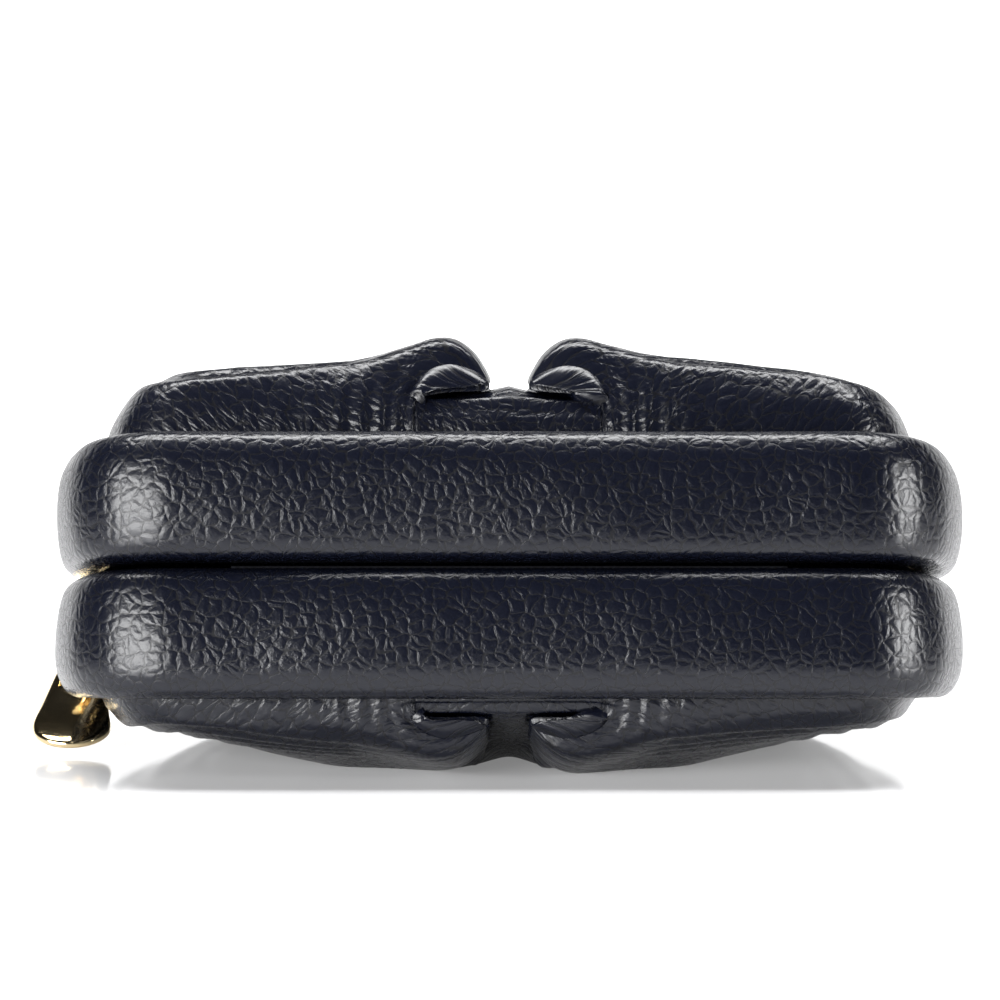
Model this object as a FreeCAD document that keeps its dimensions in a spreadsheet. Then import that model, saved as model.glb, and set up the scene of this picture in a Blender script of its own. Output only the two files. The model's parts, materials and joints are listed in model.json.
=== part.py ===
import FreeCAD, Part
import os
import Sketcher
from math import acos, asin, atan2, cos, degrees, radians, sin
from FreeCAD import Placement, Rotation, Vector

# A zipped half-moon coin purse of pleated leather, lying on its back panel.
# Every piece is laid out in the purse's own frame: X across, Y from the flat
# bottom seam up to the top of the zip, Z from the middle seam to the front.
# One placement, "lying", then rests it on the back panel's flat patch.

doc = FreeCAD.newDocument("CoinPurse")
sheet = doc.addObject("Spreadsheet::Sheet", "Sizes")

SIZES = [
    ("body_radius", 59.0, "half the purse's width, radius of the zip's arc outside"),
    ("centre_height", 28.0, "height of that arc's centre above the bottom edge"),
    ("corner_radius", 14.0, "radius of the two bottom corners"),
    ("bottom_half", 17.0, "height of one band at the bottom edge"),
    ("top_half", 10.5, "height of one band at the top of the arc"),
    ("lying_tilt", 11.0, "slope of the middle seam as the purse lies, degrees"),
    ("seam_height", 28.5, "height of the middle seam above the floor at the bottom edge"),
    ("seam_gap", 0.3, "half the gap between the two bands along the middle seam"),
    ("leather", 1.4, "thickness of the leather"),
    ("band_foam", 2.6, "thickness of the foam strip inside a band"),
    ("panel_foam", 2.5, "thickness of the foam behind a panel"),
    ("lining", 0.5, "thickness of the lining cloth"),
    ("lip", 5.5, "width of the band's rim turned in towards the panel"),
    ("rim_round", 4.0, "outside rounding of a band at its rim"),
    ("groove_round", 3.5, "outside rounding of a band at the middle seam"),
    ("front_rise", 16.5, "rise of the front panel above its rim"),
    ("back_rise", 13.0, "free rise of the back panel, before the floor flattens it"),
    ("panel_middle", 36.0, "height of the panels' middle above the bottom edge"),
    ("patch_depth", 38.0, "distance of the resting patch's centre from the bottom edge"),
    ("tape_gap", 0.3, "space between the band's leather and the zip tape"),
    ("tape_thick", 0.5, "thickness of a zip tape"),
    ("tape_reach", 8.0, "distance of the tape's sewn edge from the middle seam"),
    ("tape_start", 1.0, "distance of the tape's toothed edge from the middle seam"),
    ("zip_angle", 24.0, "angle of each zip end above the arc's centre, degrees"),
    ("channel_half", 4.5, "half the width of the zip's channel between the bands"),
    ("tooth_pitch", 3.0, "distance between two teeth of one row"),
    ("tooth_wide", 1.15, "length of a tooth along the zip"),
    ("tooth_thick", 2.2, "thickness of a tooth through the zip"),
    ("tooth_base", 2.4, "distance of a tooth's foot from the middle seam"),
    ("tooth_head", 0.8, "distance a tooth's head reaches past the middle seam"),
    ("slider_long", 11.0, "length of the slider"),
    ("slider_wide", 8.0, "width of the slider"),
    ("slider_tail", 6.4, "width of the slider's tail"),
    ("slider_gap", 3.4, "space between the slider's two plates"),
    ("slider_plate", 0.9, "thickness of a slider plate"),
    ("slot_gap", 1.7, "height of the slots at the slider's sides"),
    ("flange", 0.8, "width of the slider's side flanges"),
    ("bridge_long", 8.6, "length of the slider's bridge"),
    ("bridge_wide", 1.8, "width of the bridge's strap"),
    ("bridge_thick", 0.8, "thickness of the bridge's strap"),
    ("bridge_clear", 3.2, "clear height under the bridge"),
    ("link_wire", 1.0, "diameter of the link's wire"),
    ("link_half", 2.3, "half the link's width, on the wire's centre"),
    ("link_long", 12.7, "length of the link, on the wire's centre"),
    ("link_turn", 40.0, "turn of the link's plane from the zip's run, degrees"),
    ("pull_long", 24.0, "length of the pull"),
    ("pull_wide_radius", 5.2, "radius of the pull's wide end"),
    ("pull_eye_radius", 3.1, "radius of the pull's narrow end"),
    ("pull_thick", 1.5, "thickness of the pull"),
    ("pull_bar", 1.0, "thickness of the bar at the pull's narrow end"),
    ("pull_hole", 3.8, "width of the hole in the pull"),
    ("pull_hole_long", 7.0, "length of the hole in the pull"),
    ("fit_gap", 0.2, "clearance between pieces that hang in each other"),
    ("tab_long", 2.4, "length of the leather tab over a zip end"),
    ("tab_thick", 1.2, "thickness of that tab"),
    ("stop_long", 1.4, "length of a zip stop"),
    ("binding_wide", 9.0, "width of the binding inside the bottom seam"),
    ("binding_thick", 0.6, "thickness of that binding"),
]
for row, (alias, value, note) in enumerate(SIZES, start=1):
    sheet.set(f"A{row}", note)
    sheet.set(f"B{row}", str(value))
    sheet.setAlias(f"B{row}", alias)
doc.recompute()


def size(alias):
    return float(sheet.get(alias))


def value_of(formula):
    return float(sheet.evalExpression(formula))


radius = size("body_radius")
arc_height = size("centre_height")
purse_top = arc_height + radius
taper = degrees(asin((size("bottom_half") - size("top_half")) / purse_top))
tape_radius = radius - size("leather") - size("tape_gap") - size("tape_thick") / 2
FAR = 200.0


def turned(axis, angle):
    return Placement(Vector(), Rotation(Vector(*axis), angle))


def moved(x, y, z):
    return Placement(Vector(x, y, z), Rotation())


# The origin is the centre of the flat patch that the purse rests on.
lying = moved(0, -size("patch_depth"), size("seam_height")) * turned((1, 0, 0), -size("lying_tilt"))
MIDDLE = {"front": lying, "back": lying * turned((0, 1, 0), 180)}
RIM = {
    half: middle * moved(0, 0, size("bottom_half")) * turned((1, 0, 0), -taper)
    for half, middle in MIDDLE.items()
}
nodes = []


# ---- helpers -------------------------------------------------------------


def node(thing, label):
    """Name a finished sub-part; it is written out under this name."""
    thing.Label = label
    nodes.append(thing)
    return thing


def bind(thing, **formulas):
    for name, formula in formulas.items():
        thing.setExpression(name, formula)


def boolean(kind, name, base, tool):
    thing = doc.addObject("Part::" + kind, name)
    thing.Base = base
    thing.Tool = tool
    return thing


def named_constraint(sketch, title, formula, kind, *places):
    index = sketch.addConstraint(Sketcher.Constraint(kind, *places, value_of(formula)))
    sketch.renameConstraint(index, title)
    sketch.setExpression("Constraints." + title, formula)


def outline(name, place, inset, share="1"):
    """Half-moon outline: a flat bottom, two corner arcs and one large arc.

    It lies inset from the purse's edge and is shrunk by share towards the
    panel's middle. Both are formulas on the sheet.
    """
    big = f"(Sizes.body_radius - ({inset})) * {share}"
    corner = f"(Sizes.corner_radius - ({inset})) * {share}"
    drop = f"(Sizes.centre_height - ({inset})) * {share}"
    centre = f"Sizes.panel_middle + (Sizes.centre_height - Sizes.panel_middle) * {share}"
    large, small, rise, height = (value_of(f) for f in (big, corner, drop, centre))
    foot = ((large - small) ** 2 - (rise - small) ** 2) ** 0.5
    side = atan2(small - rise, foot)
    low, up = height - rise, Vector(0, 0, 1)
    sketch = doc.addObject("Sketcher::SketchObject", name)
    sketch.Placement = place
    sketch.addGeometry(Part.LineSegment(Vector(-foot, low, 0), Vector(foot, low, 0)))
    right = Part.Circle(Vector(foot, low + small, 0), up, small)
    sketch.addGeometry(Part.ArcOfCircle(right, radians(-90), side))
    top = Part.Circle(Vector(0, height, 0), up, large)
    sketch.addGeometry(Part.ArcOfCircle(top, side, radians(180) - side))
    left = Part.Circle(Vector(-foot, low + small, 0), up, small)
    sketch.addGeometry(Part.ArcOfCircle(left, radians(180) - side, radians(270)))
    for edge in range(4):
        joint = Sketcher.Constraint("Tangent", edge, 2, (edge + 1) % 4, 1)
        sketch.addConstraint(joint)
    sketch.addConstraint(Sketcher.Constraint("Horizontal", 0))
    sketch.addConstraint(Sketcher.Constraint("Equal", 1, 3))
    sketch.addConstraint(Sketcher.Constraint("PointOnObject", 2, 3, -2))
    named_constraint(sketch, "big", big, "Radius", 2)
    named_constraint(sketch, "corner", corner, "Radius", 1)
    named_constraint(sketch, "centre", centre, "DistanceY", -1, 1, 2, 3)
    named_constraint(sketch, "foot", f"({centre}) - ({drop})", "DistanceY", -1, 1, 0, 1)
    return sketch


def block_under(name, place, depth):
    """A large block whose top face is depth under the plane of place."""
    block = doc.addObject("Part::Box", name)
    block.Length = block.Width = 2 * FAR
    block.Height = FAR
    block.Placement = place * moved(-FAR, -FAR, -FAR - depth)
    return block


def loft(name, sections):
    thing = doc.addObject("Part::Loft", name)
    thing.Sections = sections
    thing.Solid = True
    thing.Ruled = True
    return thing


def tub(name, half, inset, depth):
    """Solid from the outline at the middle seam to the one depth under the rim."""
    foot = outline(name + "_foot", MIDDLE[half] * moved(0, 0, size("seam_gap")), inset)
    brim = outline(name + "_brim", RIM[half] * moved(0, 0, -depth), inset)
    return loft(name, [foot, brim])


def rim_opening(name, half):
    """Plug that leaves the band's lip: it goes through the rim plane."""
    reach = size("lip")
    place = RIM[half] * moved(0, 0, -reach)
    plug = doc.addObject("Part::Extrusion", name)
    plug.Base = outline(name + "_outline", place, "Sizes.lip")
    plug.DirMode = "Custom"
    plug.Dir = place.Rotation * Vector(0, 0, 1)
    plug.Solid = True
    bind(plug, LengthFwd="2 * Sizes.lip")
    return plug


# Each layer of a panel is the dome shrunk by the layer's depth: the share of
# the outline's width and of the rise that is left at each of these stations.
FRONT_STATIONS = ((1.0, 0.0), (0.985, 0.27), (0.95, 0.52), (0.84, 0.78), (0.56, 0.92), (0.3, 1.0))
BACK_STATIONS = ((1.0, 0.0), (0.985, 0.16), (0.95, 0.34), (0.7, 0.62), (0.4, 0.87), (0.2, 1.0))


def dome(name, half, depth, base):
    """Solid dome under a panel, depth inside its outer face, base under the rim."""
    stations = FRONT_STATIONS if half == "front" else BACK_STATIONS
    rim = RIM[half]
    sections = [outline(f"{name}_foot", rim * moved(0, 0, -base), "Sizes.lip", shrink(1, depth))]
    rise = size(half + "_rise") - depth
    for index, (share, lift) in enumerate(stations):
        place = rim * moved(0, 0, lift * rise)
        sections.append(outline(f"{name}_{index}", place, "Sizes.lip", shrink(share, depth)))
    shell = loft(name + "_loft", sections)
    if half == "front":
        return shell
    floor = block_under(name + "_floor", turned((1, 0, 0), 180), depth)
    return boolean("Common", name, shell, floor)


def shrink(share, depth):
    return f"({share} * (1 - {depth} / (Sizes.body_radius - Sizes.lip)))"


def sector(name, half, near, far, low, high, spread=0.0):
    """Slice of a ring about the arc's axis, spread degrees past each zip end."""
    start = size("zip_angle") - spread
    place = MIDDLE[half] * moved(0, arc_height, value_of(low)) * turned((0, 0, 1), start)
    rounds = []
    for part, inset in (("outer", near), ("inner", far)):
        pie = doc.addObject("Part::Cylinder", f"{name}_{part}")
        pie.Placement = place
        bind(pie, Radius=f"Sizes.body_radius - ({inset})", Height=f"({high}) - ({low})")
        bind(pie, Angle=f"180 - 2 * (Sizes.zip_angle - {spread})")
        rounds.append(pie)
    return boolean("Cut", name, *rounds)


def rounded(name, base, radius_by_edge):
    fillet = doc.addObject("Part::Fillet", name)
    fillet.Base = base
    fillet.Edges = [(index, r, r) for index, r in radius_by_edge]
    return fillet


def rim_edges(solid, half):
    """The outer edges at the middle seam and at the rim, with their radii."""
    found = []
    for index, edge in enumerate(solid.Shape.Edges, start=1):
        points = [v.Point for v in edge.Vertexes]
        for place, lift, name in (
            (MIDDLE[half], size("seam_gap"), "groove_round"),
            (RIM[half], 0.0, "rim_round"),
        ):
            heights = [place.inverse().multVec(p).z - lift for p in points]
            if max(abs(h) for h in heights) < 1e-4:
                found.append((index, size(name)))
    return found


# ---- the two soft halves -------------------------------------------------

TAPE_NEAR = "Sizes.leather + Sizes.tape_gap"
TAPE_FAR = TAPE_NEAR + " + Sizes.tape_thick"
past_end = size("slider_long") / 2 + size("stop_long") + size("tab_long") + 1.0
ZIP_SPREAD = degrees(past_end / tape_radius)
LEATHER, FOAM = size("leather"), size("panel_foam")
INNER = LEATHER + FOAM


def soft_half(half):
    """Panel, band, their foam and the lining of the front or the back."""
    channel = sector(half + "_channel", half, "-5", "9", "-1", "Sizes.channel_half", ZIP_SPREAD)
    outer = tub(half + "_band_outer", half, "0", 0.0)
    doc.recompute()
    outer = rounded(half + "_band_round", outer, rim_edges(outer, half))
    wall = "Sizes.leather"
    under_lip = tub(half + "_band_inner", half, wall, LEATHER)
    band = boolean("Cut", half + "_band_shell", outer, under_lip)
    band = boolean("Cut", half + "_band_open", band, rim_opening(half + "_band_mouth", half))
    node(boolean("Cut", half + "_band", band, channel), half + "_band")

    inside = "Sizes.leather + Sizes.band_foam"
    bag = tub(half + "_bag_outer", half, inside, LEATHER)
    foam = boolean("Cut", half + "_foam_ring", under_lip, bag)
    tape_bed = sector(half + "_tape_bed", half, wall, TAPE_FAR, "0", "Sizes.tape_reach", ZIP_SPREAD)
    foam = boolean("Cut", half + "_foam_bed", foam, tape_bed)
    node(boolean("Cut", half + "_band_foam", foam, channel), half + "_band_foam")

    lined = (INNER + size("lining"), LEATHER + size("lining"))
    layers = ((0.0, LEATHER), (LEATHER, LEATHER), (INNER, LEATHER), lined)
    domes = [dome(f"{half}_dome_{i}", half, depth, base) for i, (depth, base) in enumerate(layers)]
    node(boolean("Cut", half + "_panel", domes[0], domes[1]), half + "_panel")
    node(boolean("Cut", half + "_panel_foam", domes[1], domes[2]), half + "_panel_foam")

    hollow = tub(half + "_bag_inner", half, inside + " + Sizes.lining", LEATHER + size("lining"))
    outside = boolean("Fuse", half + "_lining_outer", bag, domes[2])
    space = boolean("Fuse", half + "_lining_inner", hollow, domes[3])
    cloth = boolean("Cut", half + "_lining_cloth", outside, space)
    node(boolean("Cut", half + "_lining", cloth, channel), half + "_lining")


soft_half("back")
soft_half("front")


def seam_binding():
    """Cloth strip sewn over the bottom seam inside, fixed to the back."""
    strip = doc.addObject("Part::Box", "bottom_binding")
    width = "Sizes.body_radius * 1.2"
    bind(strip, Length=width, Width="Sizes.binding_thick", Height="Sizes.binding_wide / 2")
    inside = size("leather") + size("band_foam") + size("lining")
    side = -value_of(width) / 2
    strip.Placement = lying * moved(side, inside, -size("binding_wide") / 2)
    node(strip, "bottom_binding")


seam_binding()

# ---- the zip -------------------------------------------------------------

zip_frame = lying * moved(0, arc_height, 0)
teeth_span = 180 - 2 * size("zip_angle") - degrees(size("slider_long") * 0.25 / tape_radius)
pitch_angle = degrees(size("tooth_pitch") / tape_radius)
tooth_count = int(teeth_span / pitch_angle)


def plane_of(body, role):
    return next(f for f in body.Origin.OriginFeatures if f.Role == role)


def sketch_on(body, name, role, lift=0.0):
    sketch = body.newObject("Sketcher::SketchObject", name)
    sketch.AttachmentSupport = (plane_of(body, role), [""])
    sketch.MapMode = "FlatFace"
    sketch.AttachmentOffset = moved(0, 0, lift)
    return sketch


def rectangle(sketch, left, right, low, high):
    """A rectangle between four formulas on the sheet."""
    a, b, c, d = (value_of(f) for f in (left, right, low, high))
    first = sketch.GeometryCount
    corners = [Vector(a, c, 0), Vector(b, c, 0), Vector(b, d, 0), Vector(a, d, 0)]
    for start, end in zip(corners, corners[1:] + corners[:1]):
        sketch.addGeometry(Part.LineSegment(start, end))
    for side in range(4):
        joint = Sketcher.Constraint("Coincident", first + side, 2, first + (side + 1) % 4, 1)
        sketch.addConstraint(joint)
    for side, way in enumerate(("Horizontal", "Vertical", "Horizontal", "Vertical")):
        sketch.addConstraint(Sketcher.Constraint(way, first + side))
    tag = f"side{first}"
    named_constraint(sketch, tag + "a", left, "DistanceX", -1, 1, first, 1)
    named_constraint(sketch, tag + "b", right, "DistanceX", -1, 1, first, 2)
    named_constraint(sketch, tag + "c", low, "DistanceY", -1, 1, first, 1)
    named_constraint(sketch, tag + "d", high, "DistanceY", -1, 1, first + 1, 2)


def new_body(name, place):
    body = doc.addObject("PartDesign::Body", name)
    body.AllowCompound = True
    body.Placement = place
    return body


def pad(body, name, sketch, length, both_ways=False):
    feature = body.newObject("PartDesign::Pad", name)
    feature.Profile = sketch
    feature.Midplane = both_ways
    bind(feature, Length=length)
    return feature


def cut_through(body, name, sketch):
    """Pocket through everything, both ways, that must take material off."""
    doc.recompute()
    before = body.Shape.Volume
    feature = body.newObject("PartDesign::Pocket", name)
    feature.Profile = sketch
    feature.Type = "ThroughAll"
    feature.Midplane = True
    doc.recompute()
    assert body.Shape.Volume < before - 0.01, name
    return feature


def zip_teeth(half, first_angle, turn):
    """One row of teeth: a patterned tooth with a slot for the tape's edge."""
    body = new_body(half + "_zip_teeth", zip_frame * turn * turned((0, 0, 1), first_angle))
    middle = "(Sizes.body_radius - Sizes.leather - Sizes.tape_gap - Sizes.tape_thick / 2)"
    blank = sketch_on(body, half + "_tooth_plan", "XY_Plane", -size("tooth_head"))
    rectangle(blank, middle + " - Sizes.tooth_thick / 2", middle + " + Sizes.tooth_thick / 2",
              "-Sizes.tooth_wide / 2", "Sizes.tooth_wide / 2")
    tooth = pad(body, half + "_tooth", blank, "Sizes.tooth_head + Sizes.tooth_base")
    slot = sketch_on(body, half + "_slot_plan", "XY_Plane", size("tape_start"))
    rectangle(slot, middle + " - Sizes.tape_thick / 2", middle + " + Sizes.tape_thick / 2",
              "-Sizes.tooth_wide", "Sizes.tooth_wide")
    doc.recompute()
    before = body.Shape.Volume
    jaws = body.newObject("PartDesign::Pocket", half + "_jaws")
    jaws.Profile = slot
    jaws.Reversed = True
    bind(jaws, Length="2 * Sizes.tooth_base")
    doc.recompute()
    assert body.Shape.Volume < before - 0.01, "the tape's slot cuts nothing"
    row = body.newObject("PartDesign::PolarPattern", half + "_row")
    row.Originals = [tooth, jaws]
    row.Axis = (plane_of(body, "Z_Axis"), [""])
    row.Angle = (tooth_count - 1) * pitch_angle
    row.Occurrences = tooth_count
    body.Tip = row
    node(body, half + "_zip_teeth")


for half in ("back", "front"):
    tape = sector(half + "_zip_tape", half, TAPE_NEAR, TAPE_FAR, "Sizes.tape_start",
                  "Sizes.tape_reach", ZIP_SPREAD - 0.1)
    node(tape, half + "_zip_tape")
zip_teeth("front", size("zip_angle"), Placement())
zip_teeth("back", 180 - size("zip_angle") - (tooth_count - 0.5) * pitch_angle, turned((0, 1, 0), 180))


# ---- slider, link and pull -----------------------------------------------

# The slider's own frame: X out of the purse, Y along the zip, Z across it.
slider_place = zip_frame * turned((0, 0, 1), 180 - size("zip_angle")) * moved(tape_radius, 0, 0)
HALF_GAP = "Sizes.slider_gap / 2"
FULL_HALF = "(Sizes.slider_gap / 2 + Sizes.slider_plate)"


def polygon(sketch, points):
    for start, end in zip(points, points[1:] + points[:1]):
        sketch.addGeometry(Part.LineSegment(Vector(*start, 0), Vector(*end, 0)))


def slider_body():
    """Two plates with side flanges, joined by the wedge that parts the teeth."""
    body = new_body("slider_body", slider_place)
    nose, tail, run = size("slider_wide") / 2, size("slider_tail") / 2, size("slider_long") / 2
    plan = sketch_on(body, "slider_plan", "YZ_Plane")
    shoulder = run / 2
    polygon(plan, [(-run, -tail), (0, -nose), (shoulder, -nose), (run, -tail),
                   (run, tail), (shoulder, nose), (0, nose), (-run, tail)])
    pad(body, "slider_block", plan, "2 * " + FULL_HALF, both_ways=True)
    tunnel = sketch_on(body, "slider_tunnel", "XZ_Plane")
    flange = "(Sizes.slider_tail / 2 - Sizes.flange)"
    rectangle(tunnel, "-" + HALF_GAP, HALF_GAP, "-" + flange, flange)
    cut_through(body, "slider_hollow", tunnel)
    slots = sketch_on(body, "slider_slots", "XZ_Plane")
    rectangle(slots, "-Sizes.slot_gap / 2", "Sizes.slot_gap / 2", "-Sizes.slider_wide", "Sizes.slider_wide")
    cut_through(body, "slider_sides", slots)
    wedge = sketch_on(body, "slider_wedge", "YZ_Plane")
    tip, thick = run * 0.35, size("tape_start") - size("fit_gap")
    polygon(wedge, [(tip, 0), (run * 0.7, -thick), (run, -thick), (run, thick), (run * 0.7, thick)])
    pad(body, "slider_post", wedge, "2 * " + FULL_HALF, both_ways=True)
    node(body, "slider_body")


def slider_bridge():
    """Strap that stands on the slider's outer plate and carries the link."""
    body = new_body("slider_bridge", slider_place)
    side = sketch_on(body, "bridge_side", "XY_Plane")
    base = FULL_HALF
    top = f"{base} + Sizes.bridge_clear + Sizes.bridge_thick"
    rectangle(side, base, top, "-Sizes.bridge_long / 2", "Sizes.bridge_long / 2")
    pad(body, "bridge_block", side, "Sizes.bridge_wide", both_ways=True)
    inner = "(Sizes.bridge_long / 2 - Sizes.bridge_thick * 1.4)"
    eye = sketch_on(body, "bridge_eye", "XY_Plane")
    rectangle(eye, "0", f"{base} + Sizes.bridge_clear", "-" + inner, inner)
    cut_through(body, "bridge_opening", eye)
    node(body, "slider_bridge")


slider_body()
slider_bridge()

strap_out = size("slider_gap") / 2 + size("slider_plate") + size("bridge_clear") + size("bridge_thick") / 2
strap_place = slider_place * moved(strap_out, 0, 0)
hook_rise = size("bridge_wide") / 2 + 2 * size("fit_gap") + size("link_wire") / 2
# The link's own frame: X across the link, Y down its length, Z out of its plane.
across = Vector(-sin(radians(size("link_turn"))), cos(radians(size("link_turn"))), 0)
down = Vector(0, 0, -1)
link_place = strap_place * Placement(
    Vector(0, 0, hook_rise), Rotation(across, down, across.cross(down), "XYZ")
)


def pull_link():
    """Closed wire link, round wire swept along two straights and two half turns."""
    half, long, wire = size("link_half"), size("link_long"), size("link_wire") / 2
    up = Vector(0, 0, 1)
    near = Part.ArcOfCircle(Part.Circle(Vector(0, half, 0), up, half), radians(180), radians(360))
    far = Part.ArcOfCircle(Part.Circle(Vector(0, long - half, 0), up, half), 0, radians(180))
    right = Part.LineSegment(near.EndPoint, far.StartPoint)
    left = Part.LineSegment(far.EndPoint, near.StartPoint)
    loops = []
    for piece in (near, right, far, left):
        path = Part.Wire(piece.toShape())
        start, heading = piece.value(piece.FirstParameter), piece.tangent(piece.FirstParameter)[0]
        section = Part.Wire(Part.Circle(start, heading, wire).toShape())
        loops.append(path.makePipeShell([section], True, True))
    link = doc.addObject("Part::Feature", "pull_link")
    link.Shape = loops[0].fuse(loops[1:]).removeSplitter()
    link.Placement = link_place
    node(link, "pull_link")


pull_link()

FLOOR_GAP = 0.02
# The pull hangs by its end bar inside the link's lower end, and its wide
# end rests on the floor towards the bottom edge.
bar_drop = size("link_long") - size("link_wire") / 2 - 3 * size("fit_gap") - size("pull_thick") / 2
aside = size("link_wire") / 2
bar_point = link_place.multVec(Vector(0, bar_drop, 0)) + slider_place.Rotation * Vector(aside, 0, 0)
drop_room = bar_point.z - size("pull_thick") / 2 - FLOOR_GAP
pull_slope = degrees(asin(drop_room / (size("pull_long") - size("pull_bar") / 2)))


def zip_pull():
    """Teardrop plate with a long eye; X runs down the pull from its end bar."""
    bar, small, large = size("pull_bar") / 2, size("pull_eye_radius"), size("pull_wide_radius")
    near, far = small - bar, size("pull_long") - bar - large
    tangent = acos((small - large) / (far - near))
    up = Vector(0, 0, 1)
    tip = Part.ArcOfCircle(Part.Circle(Vector(near, 0, 0), up, small), tangent, 2 * radians(180) - tangent)
    end = Part.ArcOfCircle(Part.Circle(Vector(far, 0, 0), up, large), -tangent, tangent)
    place = Placement(bar_point, Rotation(Vector(0, 0, 1), -90) * Rotation(Vector(0, 1, 0), pull_slope))
    body = new_body("zip_pull", place)
    plan = sketch_on(body, "pull_plan", "XY_Plane")
    sides = [Part.LineSegment(tip.EndPoint, end.StartPoint), Part.LineSegment(end.EndPoint, tip.StartPoint)]
    for piece in (tip, end, *sides):
        plan.addGeometry(piece)
    pad(body, "pull_plate", plan, "Sizes.pull_thick", both_ways=True)
    eye = sketch_on(body, "pull_eye", "XY_Plane")
    wide = size("pull_hole") / 2
    first, last = bar + wide, bar + size("pull_hole_long") - wide
    low = Part.ArcOfCircle(Part.Circle(Vector(first, 0, 0), up, wide), radians(90), radians(270))
    high = Part.ArcOfCircle(Part.Circle(Vector(last, 0, 0), up, wide), radians(-90), radians(90))
    sides = [Part.LineSegment(low.EndPoint, high.StartPoint), Part.LineSegment(high.EndPoint, low.StartPoint)]
    for piece in (low, high, *sides):
        eye.addGeometry(piece)
    cut_through(body, "pull_opening", eye)
    node(body, "zip_pull")


zip_pull()


# ---- zip ends ------------------------------------------------------------


def end_piece(name, frame, inset, thick, long, low, high, angle):
    """Small block over the zip at an angle about the arc's axis."""
    block = doc.addObject("Part::Box", name)
    block.Length, block.Width = thick, long
    block.Height = high - low
    block.Placement = frame * turned((0, 0, 1), angle) * moved(radius - inset - thick, -long / 2, low)
    return block


tab_angle = size("zip_angle") - ZIP_SPREAD + degrees(size("tab_long") / 2 / tape_radius) + 0.15
tab_half = size("channel_half") - size("fit_gap")
tab_inset = size("leather") + size("tape_gap") - size("tab_thick") - size("fit_gap") / 2
for side, angle in (("left", 180 - tab_angle), ("right", tab_angle)):
    tab = end_piece("tab_" + side, zip_frame, tab_inset, size("tab_thick"), size("tab_long"),
                    -tab_half, tab_half, angle)
    node(tab, "zip_end_tab_" + side)

stop_thick = size("tooth_thick")
stop_along = (size("slider_long") + size("stop_long")) / 2 + 0.15
stop_angle = size("zip_angle") - degrees(stop_along / tape_radius)
stop_inset = radius - tape_radius - stop_thick / 2


def tape_slot(name, half):
    """The room a stop leaves for the tape that it is clamped on."""
    return sector(name, half, TAPE_NEAR, TAPE_FAR, "Sizes.tape_start", "Sizes.tape_reach", ZIP_SPREAD)


for half, high_side in (("back", stop_angle), ("front", 180 - stop_angle)):
    frame = MIDDLE[half] * moved(0, arc_height, 0)
    stop = end_piece(half + "_stop_block", frame, stop_inset, stop_thick, size("stop_long"),
                     size("seam_gap"), size("tooth_base"), high_side)
    node(boolean("Cut", half + "_stop", stop, tape_slot(half + "_stop_slot", half)), half + "_top_stop")
bottom_stop = end_piece("box_block", zip_frame, stop_inset, stop_thick, size("stop_long"),
                        -size("tooth_base"), size("tooth_base"), stop_angle)
for half in ("front", "back"):
    bottom_stop = boolean("Cut", half + "_box_cut", bottom_stop, tape_slot(half + "_box_slot", half))
node(bottom_stop, "bottom_stop")


# ---- recompute, check and write ------------------------------------------

doc.recompute()
for thing in doc.Objects:
    bad = {"Invalid", "Error"} & set(thing.State)
    assert not bad, f"{thing.Name} ({thing.Label}) is {bad}"
os.makedirs("parts", exist_ok=True)
for thing in nodes:
    shape = thing.Shape
    assert not shape.isNull() and shape.isValid(), thing.Label
    assert shape.Solids and shape.Volume > 0, thing.Label
    shape.exportStep(f"parts/{thing.Label}.step")
    print(f"{thing.Label}: {len(shape.Solids)} solid(s), {shape.Volume:.1f} mm3")
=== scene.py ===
import json
import math

import bmesh
import bpy
import numpy as np
from mathutils import Matrix, Vector, noise


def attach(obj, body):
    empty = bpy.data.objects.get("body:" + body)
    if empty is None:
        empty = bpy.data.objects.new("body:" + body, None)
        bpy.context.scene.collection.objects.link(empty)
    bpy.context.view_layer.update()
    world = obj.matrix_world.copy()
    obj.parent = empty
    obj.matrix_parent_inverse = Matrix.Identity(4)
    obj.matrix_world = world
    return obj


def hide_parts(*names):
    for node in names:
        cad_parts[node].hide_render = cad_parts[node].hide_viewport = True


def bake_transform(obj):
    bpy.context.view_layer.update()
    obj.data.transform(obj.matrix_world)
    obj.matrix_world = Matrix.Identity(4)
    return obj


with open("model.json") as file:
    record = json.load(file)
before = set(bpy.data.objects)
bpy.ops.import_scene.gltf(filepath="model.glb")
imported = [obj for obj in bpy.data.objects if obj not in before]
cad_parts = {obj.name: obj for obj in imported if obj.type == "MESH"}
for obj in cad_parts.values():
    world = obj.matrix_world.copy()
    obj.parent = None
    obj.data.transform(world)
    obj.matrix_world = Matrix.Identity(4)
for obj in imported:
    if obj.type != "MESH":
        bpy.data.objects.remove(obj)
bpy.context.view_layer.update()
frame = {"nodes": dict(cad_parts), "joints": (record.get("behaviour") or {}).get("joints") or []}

# ---------------------------------------------------------------------------------------------
# The two bands. Each is a padded strip of leather sewn round the half-moon outline, full and
# rounded, that turns in at the middle plane, where the zip runs between them, and rolls over into
# the rim seam. They are shaped in the purse's own frame and then laid down as the purse lies.
# ---------------------------------------------------------------------------------------------

# The purse's own frame: x across, y up from the bottom edge, z out of the middle plane where the
# two halves meet, in millimetres. The purse rests on its back panel and tips from that edge.
joints = {joint["name"]: joint for joint in frame["joints"]}
bottom_edge = Vector(joints["mouth_open"]["pos_m"])
arc_centre = Vector(joints["zip_travel"]["pos_m"])
out_of_plane = -Vector(joints["zip_travel"]["axis"]).normalized()
across = Vector((1, 0, 0))
up_purse = out_of_plane.cross(across)


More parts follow.
